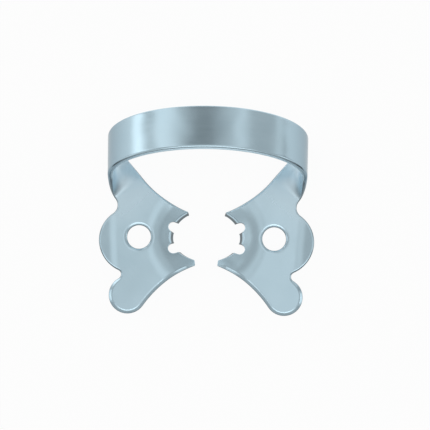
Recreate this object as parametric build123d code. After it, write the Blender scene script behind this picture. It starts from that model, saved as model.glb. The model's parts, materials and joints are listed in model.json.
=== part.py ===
from build123d import *
import os
from math import atan2, cos, degrees, radians, sin, sqrt, tan

# All sizes in mm. The clamp is drawn with the tooth axis on Z, the flat of the wings at z = 0 and
# the bow towards +Y, right side first, and is turned into its resting pose at the end.

# Spring sheet, with its cut edges broken all round
sheet = 0.65
edge_break = 0.18

# Side wing, tab and the two notches beside the side wing
bulge_x = 9.72
bulge_y = -0.5
bulge_r = 4.35
tab_x = 10.2
tab_y = -7.7
tab_r = 2.45
tab_leave_angle = 214.5
upper_notch_angle = 54.0
upper_notch_r = 1.3
lower_notch_r = 0.6

# Ends of the wing outline at the tooth opening
distal_end_x = 2.4
distal_end_y = 3.42
mesial_end_x = 1.45
mesial_end_y = -3.6
prong_round = 0.3

# Jaws, dished down round the tooth axis
dish_r = 6.9
dish_angle = 22.0
dish_bend_r = 2.0
dish_inner_r = 1.0

# Side wing, folded up along a line just outside the notches
fold_angle = 14.0
fold_bend_r = 1.8
fold_inset = 0.15
fold_flat = 0.05

# Forceps hole
hole_x = 8.85
hole_y = -0.08
hole_r = 1.55

# Ground grip faces: half widths of the tooth opening at the lower and at the upper lip
lower_half_x = 4.35
lower_half_distal = 3.75
lower_half_mesial = 3.05
upper_half_x = 4.75
upper_half_distal = 4.05
upper_half_mesial = 3.1

# Serration slots in each jaw
slot_angle = 18.0
slot_reach = 4.6
slot_r = 0.67

# Legs, from the root on the wing to the spring line of the bow
root_angle = 51.0
root_width = 4.5
root_lead_mesial = 1.2
root_lead_distal = 3.0
leg_lead_mesial = 2.0
leg_lead_distal = 2.4
leg_stations = 9
heel_steps = 40

# Bow, a strip bent to half an ellipse, leaning over the distal side and flaring to its distal edge
bow_half_width = 12.6
bow_rise = 6.3
bow_width = 6.6
bow_flare = 2.0
bow_lean = 28.0
spring_y = 7.3
spring_z = 4.2

# Working length of the cutters, past everything they meet
past = 12.0

# Half a turn, the sweep of each half ellipse
half_turn = 180.0


def polar(length, angle):
    """Point at a length and an angle in degrees round the Z axis."""
    return Vector(length * cos(radians(angle)), length * sin(radians(angle)))


# Points of the wing outline
strip_dir = polar(1, root_angle)
root_dir = polar(1, root_angle + 90)
bulge = Vector(bulge_x, bulge_y)
tab = Vector(tab_x, tab_y)
upper_notch = bulge + polar(bulge_r + upper_notch_r, upper_notch_angle)
root_mesial = upper_notch + root_dir * upper_notch_r
root_distal = root_mesial + root_dir * root_width
distal_end = Vector(distal_end_x, distal_end_y)
mesial_end = Vector(mesial_end_x, mesial_end_y)
tab_leave = tab + polar(tab_r, tab_leave_angle)

# The lower notch circle touches both the side wing and the tab
to_tab = tab - bulge
from_bulge = bulge_r + lower_notch_r
from_tab = tab_r + lower_notch_r
along = (to_tab.length**2 + from_bulge**2 - from_tab**2) / (2 * to_tab.length)
aside = sqrt(from_bulge**2 - along**2)
to_tab = to_tab.normalized()
lower_notch = bulge + to_tab * along + Vector(-to_tab.Y, to_tab.X) * aside

to_bulge_low = (bulge - lower_notch).normalized()
to_tab_low = (tab - lower_notch).normalized()
bulge_start = bulge + polar(bulge_r, upper_notch_angle)
bulge_stop = lower_notch + to_bulge_low * lower_notch_r
tab_start = lower_notch + to_tab_low * lower_notch_r
upper_mid = upper_notch + polar(upper_notch_r, (root_angle + upper_notch_angle + 270) / 2)
lower_mid = lower_notch + (to_bulge_low + to_tab_low).normalized() * lower_notch_r

plan = make_face(
    [
        ThreePointArc(root_mesial, upper_mid, bulge_start),
        ThreePointArc(bulge_start, bulge + Vector(bulge_r, 0), bulge_stop),
        ThreePointArc(bulge_stop, lower_mid, tab_start),
        ThreePointArc(tab_start, tab + polar(tab_r, -45), tab_leave),
        TangentArc(tab_leave, mesial_end, tangent=polar(1, tab_leave_angle - 90)),
        Line(mesial_end, distal_end),
        TangentArc(root_distal, distal_end, tangent=-strip_dir),
        Line(root_distal, root_mesial),
    ]
)
tips = [plan.vertices().sort_by_distance(end)[0] for end in (mesial_end, distal_end)]
plan = fillet(tips, prong_round)
prism = extrude(plan, amount=past, both=True)

# Side wing: everything outside the fold line between the two notches
fold_low = lower_notch + Vector(fold_inset - lower_notch_r, 0)
fold_high = upper_notch + Vector(fold_inset - upper_notch_r, 0)
fold_dir = (fold_high - fold_low).normalized()
fold_out = Vector(fold_dir.Y, -fold_dir.X)
fold_plane = Plane(origin=(fold_low + fold_high) / 2, x_dir=fold_out, z_dir=-fold_dir)
fold_length = (fold_high - fold_low).length
outside = fold_plane * Pos(past / 2, 0, 0) * Box(past, past, fold_length)

# Formed sheet: the dish of the jaws, and the fold of the side wing
dish_drop = (dish_r - dish_inner_r) * tan(radians(dish_angle))
dish_start = (dish_inner_r, -dish_drop)
dish_line = FilletPolyline(dish_start, (dish_r, 0), (dish_r + past, 0), radius=dish_bend_r)
dish = Rot(0, 0, half_turn) * revolve(Plane.XZ * trace(dish_line, sheet), Axis.Z)
fold_start = fold_bend_r * tan(radians(fold_angle / 2)) + fold_flat
fold_end = Vector(fold_start, 0) + polar(past, fold_angle)
fold_line = FilletPolyline((0, 0), (fold_start, 0), fold_end, radius=fold_bend_r)
flap = extrude(fold_plane * trace(fold_line, sheet), amount=past, both=True)

wing = (dish & (prism - outside)) + (flap & (prism & outside))
wing -= Pos(hole_x, hole_y) * Cylinder(hole_r, past)


def upright(face):
    return abs(face.normal_at().Z) < 1e-6


def on_root(face):
    return abs((face.center() - root_mesial).dot(strip_dir)) < 1e-4


# Break both edges of the cut wall all round the wing and in the hole, up to the root of the leg
walls = [face for face in wing.faces() if upright(face) and not on_root(face)]
rims = [edge for face in walls for edge in face.edges() if abs(edge.tangent_at(0.5).Z) < 0.9]
wing = chamfer(rims, edge_break)

# Ground grip faces, cut by a tapered opening, and the serration slots
lip_z = -(dish_r - lower_half_x) * tan(radians(dish_angle)) - sheet / 2
lip_height = sheet / cos(radians(dish_angle))


def opening(share):
    """Outline of the tooth opening, share 0 at the lower lip and 1 at the upper lip."""
    half_x = lower_half_x + share * (upper_half_x - lower_half_x)
    distal = lower_half_distal + share * (upper_half_distal - lower_half_distal)
    mesial = lower_half_mesial + share * (upper_half_mesial - lower_half_mesial)
    halves = [
        EllipticalCenterArc((0, 0), half_x, distal, 0, arc_size=half_turn),
        EllipticalCenterArc((0, 0), half_x, mesial, half_turn, arc_size=half_turn),
    ]
    return Pos(0, 0, lip_z + share * lip_height) * make_face(halves)


wing -= loft([opening(-2), opening(3)], ruled=True)
slot = Pos(slot_reach / 2, 0) * SlotCenterToCenter(slot_reach, 2 * slot_r)
for angle in (slot_angle, -slot_angle):
    wing -= extrude(Rot(0, 0, angle) * slot, amount=past, both=True)

# Leg: the strip between a mesial and a distal edge curve, from the bow down to the wing
rise_dir = Vector(0, sin(radians(bow_lean)), cos(radians(bow_lean)))
depth_dir = Vector(0, cos(radians(bow_lean)), -sin(radians(bow_lean)))
width_dir = depth_dir * cos(radians(bow_flare)) + Vector(sin(radians(bow_flare)), 0, 0)
spring_mesial = Vector(bow_half_width, spring_y, spring_z)
spring_distal = spring_mesial + width_dir * bow_width
leg_mesial = Bezier(
    spring_mesial,
    spring_mesial - rise_dir * leg_lead_mesial,
    root_mesial + strip_dir * root_lead_mesial,
    root_mesial,
)
leg_distal = Bezier(
    spring_distal,
    spring_distal - rise_dir * leg_lead_distal,
    root_distal + strip_dir * root_lead_distal,
    root_distal,
)


def strip_section(width):
    """Section across the strip, with its four edges broken."""
    return chamfer(Rectangle(width, sheet).vertices(), edge_break)


def leg_section(share):
    """Section of the strip across the leg, share 0 at the bow and 1 at the wing."""
    across = leg_distal @ share - leg_mesial @ share
    ahead = leg_distal % share + leg_mesial % share
    unit = across.normalized()
    plane = Plane(
        origin=(leg_distal @ share + leg_mesial @ share) / 2,
        x_dir=unit,
        z_dir=ahead - unit * ahead.dot(unit),
    )
    return plane * strip_section(across.length)


leg = loft([leg_section(i / (leg_stations - 1)) for i in range(leg_stations)])

# Bow
spring_mid = (spring_mesial + spring_distal) / 2
bow_plane = Plane(origin=(0, spring_mid.Y, spring_mid.Z), x_dir=(1, 0, 0), z_dir=-depth_dir)
bow_line = bow_plane * EllipticalCenterArc((0, 0), spring_mid.X, bow_rise, 0, arc_size=half_turn)
bow_start = Plane(origin=spring_mid, x_dir=width_dir, z_dir=rise_dir)
bow = sweep(bow_start * strip_section(bow_width), path=bow_line)

right = wing + leg
clamp = right + bow + mirror(right, Plane.YZ)

# Resting pose: on the two distal prongs and on the heels, the lowest points of the legs
prong_z = (distal_end.length - dish_r) * tan(radians(dish_angle)) - lip_height / 2
heel_shares = [i / heel_steps for i in range(heel_steps + 1)]
heel_points = [leg_distal @ share - Vector(0, 0, sheet / 2) for share in heel_shares]
rest_tilt = 0.0
for _ in range(4):
    heel = min(heel_points, key=lambda point: point.Z - point.Y * tan(rest_tilt))
    rest_tilt = atan2(heel.Z - prong_z, heel.Y - distal_end.Y)
clamp = Rot(-degrees(rest_tilt), 0, 0) * clamp
box = clamp.bounding_box()
clamp = Pos(0, -box.center().Y, -box.min.Z) * clamp

os.makedirs("parts", exist_ok=True)
export_step(clamp.solid(), "parts/dam_clamp.step")
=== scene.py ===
import json
from types import SimpleNamespace

import bpy
import numpy as np
from bpy.props import FloatProperty, FloatVectorProperty, PointerProperty
from mathutils import Matrix, Vector
from mathutils.geometry import delaunay_2d_cdt


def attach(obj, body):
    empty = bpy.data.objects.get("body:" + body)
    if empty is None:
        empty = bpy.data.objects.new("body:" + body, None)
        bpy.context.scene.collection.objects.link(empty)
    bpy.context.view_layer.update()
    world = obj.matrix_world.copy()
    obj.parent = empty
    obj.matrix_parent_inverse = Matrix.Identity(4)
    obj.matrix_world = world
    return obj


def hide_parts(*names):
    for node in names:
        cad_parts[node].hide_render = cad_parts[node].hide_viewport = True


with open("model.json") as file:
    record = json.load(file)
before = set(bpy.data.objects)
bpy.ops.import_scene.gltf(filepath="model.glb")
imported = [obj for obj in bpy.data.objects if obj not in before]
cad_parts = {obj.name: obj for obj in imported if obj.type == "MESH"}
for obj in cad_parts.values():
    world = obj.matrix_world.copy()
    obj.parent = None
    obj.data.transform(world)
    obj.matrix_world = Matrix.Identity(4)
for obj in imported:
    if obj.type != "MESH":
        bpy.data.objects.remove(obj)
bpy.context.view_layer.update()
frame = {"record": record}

bl_info = {
    "name": "Rubber dam clamp",
    "version": (1, 0, 0),
    "blender": (4, 5, 0),
    "location": "View3D > Sidebar > Clamp",
    "description": "Builds a winged spring steel rubber dam clamp and a white studio round it",
    "category": "Object",
}

MM = 0.001
NODE = "dam_clamp"

# Spacing and numbers of the points that carry the surfaces
PERIMETER_STEP = 0.06 * MM
GRIP_STEP = 0.03 * MM
TIP_STEP = GRIP_STEP / 4
LIP_POINTS = 1441
INNER_STEP = 0.22 * MM
INNER_CLEARANCE = 0.6 * INNER_STEP
HOLE_POINTS = 180
ACROSS_POINTS = 25
CURVE_POINTS = 801
LEG_STATIONS = 56
BOW_STATIONS = 72

# Rounds in which the height of a grip lip is put back into its half widths
LIP_ROUNDS = 8

# Small steps to both sides for a slope on a face and for the direction of a curve
SLOPE_STEP = 0.002 * MM
CURVE_STEP = 1e-5

# Filling of a face: triangles inside the outer loop only, and points this near in millimetres are one
INSIDE_TRIANGLES = 1
SAME_POINT = 1e-6

# Smoothing along an outline: spreads of a bell curve in points, and the bell's reach in spreads
OUTLINE_SPREAD = 2.2
GROUND_SPREAD = 3.0
WIDE_SPREAD = 6.0
LIP_SPREAD = 3.0
BELL_REACH = 4

# Runs of the grip side that are the lips of the middle tooth and the distal prong, with the slots counted
BEVELLED_RUNS = (2, 4)

# Points by which the ground edge runs on past both ends of the grip side
GROUND_REACH = 2

# Edges in tight corners: room for so many of their widths, how suddenly they give way, and how fast they
# grow again along the outline
CORNER_ROOM = 1.4
CORNER_POWER = 4
EDGE_GROWTH = 0.45

# Points across an edge: shares of the way to the bevel's tilt and from there to the wall, with the bevel's
# slope between the two, and tilts over the lower round
CREASE_SHARES = np.array([0, 0.25, 0.5, 0.75, 0.98])
CORNER_SHARES = np.array([0.02, 0.2, 0.4, 0.6, 0.8, 1.0])
LOWER_TILTS = np.radians([90, 75, 60, 45, 30, 15, 0])
UPRIGHT = np.pi / 2

# Numbers kept on the points: cut walls (painted shade), ground grip faces (ground, with painted shade), the
# inner face of the bow and legs (painted light), and the outer face at the ends of the bow (painted shade)
MARKS = ("rim", "ground", "buffed", "dull")

# Painted light on the inner face of the bow and legs, a lighter colour with more roughness: its share at the
# root of a leg, its fading from there into the wing, and its growth over the length of the leg
PAINTED_LIGHT_START = 0.5
PAINTED_LIGHT_REACH = 2.4 * MM
PAINTED_LIGHT_GROWTH = 2.0

# Length of the bow over which the painted shade at its ends fades
PAINTED_SHADE_REACH = 6.5 * MM

# Share of an upright wall's tilt at which a ground face starts: its roughness, and its dark colour, which is
# painted shade
GROUND_START = 0.75

# The walls of the strip lose their painted shade and extra roughness from this share of the leg on, so much
# of it by the bow
WALL_SHADE_FADE_START = 0.5
WALL_SHADE_FADE = 0.75

# Noises of the steel: features to a metre and detail, and the grain's stretch along the strip
GRAIN_NOISE = (6000.0, 3.0)
PIT_NOISE = (4200.0, 2.0)
CLOUD_NOISE = (260.0, 3.0)
WAVE_NOISE = (190.0, 1.0)
GRAIN_STRETCH = 0.03

# Tone of the steel: shares of its noises, and how far the painted shade covers a wall from one tilt to
# another
CLOUD_TONE = 0.7
GRAIN_TONE = 0.3
WALL_START = 0.3
WALL_FULL = 0.62
WALL_COVER = 0.85

# Roughness that the noises and the marked faces add
CLOUD_ROUGHNESS = 0.10
GRAIN_ROUGHNESS = 0.06
WALL_ROUGHNESS = 0.1
GROUND_ROUGHNESS = 0.16
PAINTED_LIGHT_ROUGHNESS = 0.28

# Relief of the steel: shares of its noises, strength and depth
GRAIN_RELIEF = 0.6
PIT_RELIEF = 0.4
WAVE_RELIEF = 90.0
RELIEF_STRENGTH = 0.3
RELIEF_DEPTH = 0.004 * MM

# Nearest distance that the camera shows
NEAR_CLIP = 1.0 * MM

# Full turn in degrees
FULL_DEGREES = 360.0

# Light tent. Walls: turn from behind the bow in degrees, and brightness. Top: share of the way across to
# the right in a view's direction, and brightness. Front: rise of a view's direction, and brightness.
WALL_PANELS = (
    (-180, 0.28),
    (-125, 0.32),
    (-105, 1.10),
    (-74, 1.05),
    (-60, 0.50),
    (-48, 1.05),
    (-45, 1.50),
    (-38, 1.50),
    (-37, 0.58),
    (-30, 0.58),
    (-29, 1.10),
    (-19, 0.98),
    (-14, 0.60),
    (-9, 0.36),
    (-4, 0.28),
    (1, 0.29),
    (7, 0.52),
    (13, 0.62),
    (17, 0.95),
    (20, 0.95),
    (22, 0.52),
    (38, 0.50),
    (40, 0.82),
    (44, 0.82),
    (46, 0.42),
    (60, 0.42),
    (74, 1.05),
    (105, 1.10),
    (125, 0.32),
    (180, 0.28),
)
TOP_STRIPS = (
    (-1.0, 1.10),
    (-0.86, 1.50),
    (-0.77, 1.50),
    (-0.70, 0.68),
    (-0.60, 0.40),
    (-0.42, 0.40),
    (-0.24, 0.68),
    (-0.06, 0.58),
    (0.06, 0.76),
    (0.20, 0.78),
    (0.34, 0.50),
    (0.46, 0.52),
    (0.58, 0.34),
    (0.70, 0.48),
    (0.77, 1.50),
    (0.86, 1.50),
    (1.0, 1.10),
)
FRONT_STEPS = (
    (0.0, 0.10),
    (0.25, 0.14),
    (0.45, 0.48),
    (0.86, 0.46),
    (0.92, 1.70),
    (0.97, 1.70),
    (0.99, 0.74),
)


# Settings


def length(name, description, millimetres):
    """A length, kept in metres, with its default given in millimetres."""
    return FloatProperty(
        name=name, description=description, default=millimetres * MM, unit="LENGTH", precision=5
    )


def angle(name, description, degrees):
    """An angle, kept in radians, with its default given in degrees."""
    return FloatProperty(
        name=name, description=description, default=float(np.radians(degrees)), subtype="ANGLE"
    )


def share(name, description, value):
    """A plain number between 0 and 1."""
    return FloatProperty(
        name=name, description=description, default=value, min=0.0, max=1.0, subtype="FACTOR"
    )


def colour(name, description, value):
    """A linear colour."""
    return FloatVectorProperty(
        name=name, description=description, default=value, size=3, min=0.0, max=1.0, subtype="COLOR"
    )


class SheetSettings(bpy.types.PropertyGroup):
    """Spring sheet that the whole clamp is punched and bent from."""

    thickness: length("Thickness", "Thickness of the sheet", 0.65)
    edge_round: length("Edge round", "Radius of the tumbled edges", 0.28)
    bow_inner_round: length("Bow inner edge", "Radius of the bow's edges on its inner face", 0.08)
    bevel_crease: length("Bevel crease", "Radius between the face and the bevel of the tab's edge", 0.6)
    bevel_width: length("Bevel width", "Length of the slope of the bevel of the tab's edge", 0.24)
    bevel_tilt: angle("Bevel tilt", "Slope of the bevel of the tab's edge", 30.0)
    bevel_corner: length("Bevel corner", "Radius between the bevel of the tab's edge and its wall", 0.12)
    hole_roll: length("Hole roll", "Radius of the gentle roll towards the forceps hole", 0.9)
    hole_corner: length("Hole corner", "Radius between the roll and the wall of the hole", 0.18)
    ground_upper: length("Ground upper edge", "Radius of the upper edge of the grip faces", 0.06)
    lip_bevel: length("Lip bevel", "Length of the slope of the bevel on the lip of the grip faces", 0.15)
    lip_tilt: angle("Lip tilt", "Slope of the bevel on the lip of the grip faces", 72.0)
    ground_lower: length("Ground lower edge", "Radius of the lower edge of the grip faces", 0.12)


class WingSettings(bpy.types.PropertyGroup):
    """Outline of a wing, seen along the tooth axis, on the right side."""

    bulge_x: length("Side wing X", "Centre of the side wing, across", 9.72)
    bulge_y: length("Side wing Y", "Centre of the side wing, towards the bow", -0.5)
    bulge_r: length("Side wing radius", "Radius of the side wing", 4.35)
    tab_x: length("Tab X", "Centre of the tab, across", 10.2)
    tab_y: length("Tab Y", "Centre of the tab, towards the bow", -7.7)
    tab_r: length("Tab radius", "Radius of the tab", 2.45)
    tab_leave: angle("Tab end", "Angle on the tab where the mesial edge starts", 214.5)
    upper_notch_angle: angle("Upper notch", "Angle on the side wing of the upper notch", 54.0)
    upper_notch_r: length("Upper notch radius", "Radius of the notch at the leg", 1.3)
    lower_notch_r: length("Lower notch radius", "Radius of the notch at the tab", 0.6)
    hole_x: length("Hole X", "Centre of the forceps hole, across", 8.85)
    hole_y: length("Hole Y", "Centre of the forceps hole, towards the bow", -0.08)
    hole_r: length("Hole radius", "Radius of the forceps hole", 1.55)
    fold_angle: angle("Fold", "Upward fold of the side wing", 14.0)
    fold_bend_r: length("Fold bend", "Bend radius of the fold", 6.0)
    fold_inset: length("Fold inset", "Distance of the fold line inside the notches", 0.15)
    fold_flat: length("Fold flat", "Flat strip between the fold line and the bend", 0.05)
    root_angle: angle("Root", "Direction in which the leg leaves the wing", 51.0)
    root_width: length("Root width", "Width of the leg at the wing", 4.5)


class JawSettings(bpy.types.PropertyGroup):
    """Dished jaw with its prongs, grip faces and serration slots."""

    distal_x: length("Distal prong X", "End of the distal prong, across", 2.4)
    distal_y: length("Distal prong Y", "End of the distal prong, towards the bow", 3.42)
    mesial_x: length("Mesial prong X", "End of the mesial prong, across", 1.45)
    mesial_y: length("Mesial prong Y", "End of the mesial prong, towards the bow", -3.6)
    distal_round: length("Distal round", "Radius of the distal prong's tip in plan", 0.3)
    mesial_round: length("Mesial round", "Radius of the mesial prong's tip in plan", 0.12)
    dish_r: length("Dish radius", "Radius at which the jaws turn down", 6.9)
    dish_angle: angle("Dish", "Downward slope of the jaws", 22.0)
    dish_bend_r: length("Dish bend", "Bend radius at the rim of the dish", 6.0)
    lower_x: length("Lower lip X", "Half width of the tooth opening at the lower lip", 4.35)
    lower_distal: length("Lower lip distal", "Reach of the lower lip towards the bow", 3.75)
    lower_mesial: length("Lower lip mesial", "Reach of the lower lip away from the bow", 3.05)
    upper_x: length("Upper lip X", "Half width of the tooth opening at the upper lip", 4.75)
    upper_distal: length("Upper lip distal", "Reach of the upper lip towards the bow", 4.05)
    upper_mesial: length("Upper lip mesial", "Reach of the upper lip away from the bow", 3.1)
    slot_angle: angle("Slot angle", "Angle of the serration slots to the middle of the jaw", 18.0)
    slot_reach: length("Slot reach", "Centre of a slot's round end from the tooth axis", 4.6)
    slot_r: length("Slot radius", "Half width of a serration slot", 0.67)


class StripSettings(bpy.types.PropertyGroup):
    """Legs and bow: the strip that joins the two wings."""

    root_lead_mesial: length("Mesial root lead", "Straight start of the mesial edge at the wing", 1.2)
    root_lead_distal: length("Distal root lead", "Straight start of the distal edge at the wing", 3.0)
    leg_lead_mesial: length("Mesial leg lead", "Straight end of the mesial edge at the bow", 2.0)
    leg_lead_distal: length("Distal leg lead", "Straight end of the distal edge at the bow", 2.4)
    half_width: length("Bow half width", "Half width of the bow at its spring line", 12.6)
    rise: length("Bow rise", "Rise of the bow above its spring line", 6.3)
    width: length("Bow width", "Width of the strip in the bow", 6.6)
    flare: angle("Bow flare", "Outward lean of the strip to its distal edge", 2.0)
    lean: angle("Bow lean", "Lean of the bow over the distal side", 28.0)
    spring_y: length("Spring line Y", "Mesial end of the spring line, towards the bow", 7.3)
    spring_z: length("Spring line Z", "Mesial end of the spring line, above the wings", 4.2)


class SteelSettings(bpy.types.PropertyGroup):
    """Tumbled stainless spring steel."""

    light: colour("Light steel", "Colour where the finish is bright", (0.605, 0.775, 0.865))
    dark: colour("Dark steel", "Colour where the finish is dull", (0.485, 0.655, 0.745))
    # Painted shade: dark colour on the upright cut walls, in place of the dark reflections in them
    cut: colour("Painted wall shade", "Colour of the cut walls round the wings", (0.15, 0.195, 0.22))
    # Ground grip faces: real ground finish, with a dark colour that is painted shade
    ground: colour("Ground steel", "Colour of the ground grip faces", (0.17, 0.20, 0.215))
    # Painted light: lighter colour on the inner face of the bow and legs, in place of reflected light
    buffed: colour("Painted light steel", "Colour of the inner face of the bow", (0.67, 0.82, 0.90))
    # Painted shade: dark colour on the outer face at the ends of the bow, in place of dark reflections
    dull: colour("Painted shade steel", "Colour of the outer face at the ends of the bow", (0.19, 0.265, 0.315))
    roughness: share("Roughness", "Roughness of the tumbled faces", 0.2)


class StageSettings(bpy.types.PropertyGroup):
    """Camera, floor and light of the white studio."""

    view_height: length("View height", "Height of the point that the camera aims at", 2.0)
    view_distance: length("View distance", "Distance of the camera from that point", 250.0)
    view_elevation: angle("View elevation", "Elevation of the camera", 88.5)
    view_roll: angle("View roll", "Roll of the camera about its axis", 0.9)
    lens: FloatProperty(name="Lens", description="Focal length in millimetres", default=159.8)
    shift_x: FloatProperty(name="Shift X", description="Sideways shift of the frame", default=0.0186)
    shift_y: FloatProperty(name="Shift Y", description="Upward shift of the frame", default=-0.0081)
    floor: colour("Floor", "Colour of the floor", (0.92, 0.93, 0.93))
    floor_white: share("Floor white", "Share of plain white over the floor's own shade", 0.94)
    floor_half: length("Floor half width", "Half the side of the floor", 1500.0)
    lamp_height: length("Lamp height", "Height of the softbox", 500.0)
    lamp_side: length("Lamp side", "Side of the softbox", 900.0)
    lamp_power: FloatProperty(
        name="Lamp power", description="Power of the softbox", default=0.25, unit="POWER"
    )
    wall_top: share("Wall top", "Rise of a view at which the walls start to fade into the top", 0.45)
    tent_top: share("Top edge", "Rise of a view at which only the top is left", 0.65)
    front_start: share("Front start", "Share forward in a view at which the front starts", 0.06)
    front_full: share("Front full", "Share forward in a view at which only the front is left", 0.22)


class ClampSettings(bpy.types.PropertyGroup):
    """All settings of the clamp and its studio."""

    sheet: PointerProperty(type=SheetSettings)
    wing: PointerProperty(type=WingSettings)
    jaw: PointerProperty(type=JawSettings)
    strip: PointerProperty(type=StripSettings)
    steel: PointerProperty(type=SteelSettings)
    stage: PointerProperty(type=StageSettings)


# Plan of a wing


def polar(radius, turn):
    """Plan points at a radius and a turn round the origin."""
    return np.stack([radius * np.cos(turn), radius * np.sin(turn)], axis=-1)


def unit(vector):
    """Vectors scaled to length one."""
    return vector / np.linalg.norm(vector, axis=-1, keepdims=True)


def left_of(vector):
    """Plan vectors turned a quarter turn to their left."""
    return np.stack([-vector[..., 1], vector[..., 0]], axis=-1)


def turn_of(vector):
    """Turn of a plan vector from the X axis."""
    return np.arctan2(vector[1], vector[0])


def wing_points(wing):
    """Points that the outline hangs on. The upper notch circle touches the side wing, the lower one
    touches both the side wing and the tab, and the root of the leg starts beside the upper notch."""
    strip_dir = polar(1.0, wing.root_angle)
    root_dir = left_of(strip_dir)
    bulge = np.array([wing.bulge_x, wing.bulge_y])
    tab = np.array([wing.tab_x, wing.tab_y])
    upper_notch = bulge + polar(wing.bulge_r + wing.upper_notch_r, wing.upper_notch_angle)
    root_mesial = upper_notch + root_dir * wing.upper_notch_r
    gap = np.linalg.norm(tab - bulge)
    to_tab = unit(tab - bulge)
    from_bulge = wing.bulge_r + wing.lower_notch_r
    from_tab = wing.tab_r + wing.lower_notch_r
    along = (gap**2 + from_bulge**2 - from_tab**2) / (2 * gap)
    aside = np.sqrt(from_bulge**2 - along**2)
    return SimpleNamespace(
        strip_dir=strip_dir,
        root_dir=root_dir,
        bulge=bulge,
        tab=tab,
        upper_notch=upper_notch,
        lower_notch=bulge + to_tab * along + left_of(to_tab) * aside,
        root_mesial=root_mesial,
        root_distal=root_mesial + root_dir * wing.root_width,
    )


def arc(centre, radius, start, stop, step):
    """Arc from one turn to another about a centre, without its last point."""
    count = int(np.ceil(abs(stop - start) * radius / step))
    return centre + polar(radius, np.linspace(start, stop, count, endpoint=False))


def line(start, stop, step):
    """Straight run, without its last point."""
    count = max(2, int(np.ceil(np.linalg.norm(stop - start) / step)))
    return np.linspace(start, stop, count, endpoint=False)


def tangent_arc(start, tangent, stop, keep, step):
    """Arc that leaves a point along a tangent and would reach another, kept to a share of its sweep. A
    point on it lies rho sin(phi) along the tangent and rho (1 - cos(phi)) to its left, with the radius
    rho = chord squared / (2 chord . left) and the whole sweep twice the chord's turn from the tangent."""
    left = left_of(tangent)
    chord = stop - start
    rho = chord @ chord / (2 * (chord @ left))
    sweep = 2 * np.arctan2(chord @ left, chord @ tangent)
    count = int(np.ceil(abs(rho * sweep * keep) / step))
    phi = np.linspace(0, sweep * keep, count + 1)[:, None]
    return start + rho * (np.sin(phi) * tangent + (1 - np.cos(phi)) * left)


def rounded_corner(corner, before, after, radius, step):
    """Arc of a radius that touches both sides of a corner, given by unit vectors away from it."""
    half = np.arccos(before @ after) / 2
    centre = corner + unit(before + after) * radius / np.sin(half)
    start = turn_of(corner + before * radius / np.tan(half) - centre)
    sweep = np.pi - 2 * half
    clockwise = before[0] * after[1] - before[1] * after[0] < 0
    return arc(centre, radius, start, start + (sweep if clockwise else -sweep), step)


def smoothed(values, spread):
    """Running mean along the first axis with a bell curve of that spread in points. The ends are
    carried on as mirrored through themselves, so that they stay where they are."""
    reach = int(np.ceil(BELL_REACH * spread))
    bell = np.exp(-0.5 * (np.arange(-reach, reach + 1) / spread) ** 2)
    before = 2 * values[0] - values[reach:0:-1]
    after = 2 * values[-1] - values[-2 : -reach - 2 : -1]
    padded = np.concatenate([before, values, after])
    columns = padded.reshape(len(padded), -1).T
    means = [np.convolve(column, bell / bell.sum(), mode="valid") for column in columns]
    return np.stack(means, axis=-1).reshape(values.shape)


def inside(plan, loop):
    """True for plan points inside a closed loop: a ray towards +X crosses the loop an odd number of times."""
    start = loop
    stop = np.roll(loop, -1, axis=0)
    rise = stop[:, 1] - start[:, 1]
    slope = (stop[:, 0] - start[:, 0]) / np.where(rise == 0, 1, rise)
    x, y = plan[:, :1], plan[:, 1:]
    spans = (start[:, 1] > y) != (stop[:, 1] > y)
    crosses = spans & (x < start[:, 0] + (y - start[:, 1]) * slope)
    return crosses.sum(axis=1) % 2 == 1


# Form of the sheet


def dish_height(plan, offset, jaw):
    """Height of the face that lies an offset above the middle of the dished sheet. Outside the dish it is
    flat, the bend at the dish rim is an arc of the bend radius plus the offset, and the jaw inside it is
    a cone."""
    radius = np.linalg.norm(plan, axis=-1)
    reach = radius - jaw.dish_r - jaw.dish_bend_r * np.tan(jaw.dish_angle / 2)
    bend = jaw.dish_bend_r + offset
    on_arc = np.sqrt(np.maximum(bend**2 - np.minimum(reach, 0) ** 2, 0)) - jaw.dish_bend_r
    on_cone = offset / np.cos(jaw.dish_angle) - (jaw.dish_r - radius) * np.tan(jaw.dish_angle)
    return np.where(reach < -bend * np.sin(jaw.dish_angle), on_cone, on_arc)


def fold_height(out, offset, wing):
    """Height of the face that lies an offset above the middle of the side wing, at a distance outside the
    fold line. It goes up over an arc of the bend radius less the offset and then along a slope."""
    bend = wing.fold_bend_r - offset
    arc_end = bend * np.sin(wing.fold_angle)
    past = np.clip(out - wing.fold_flat, 0, arc_end)
    on_arc = wing.fold_bend_r - np.sqrt(bend**2 - past**2)
    start = wing.fold_bend_r * np.tan(wing.fold_angle / 2) + wing.fold_flat
    on_slope = (out - start) * np.tan(wing.fold_angle) + offset / np.cos(wing.fold_angle)
    return np.where(out - wing.fold_flat > arc_end, on_slope, on_arc)


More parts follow.
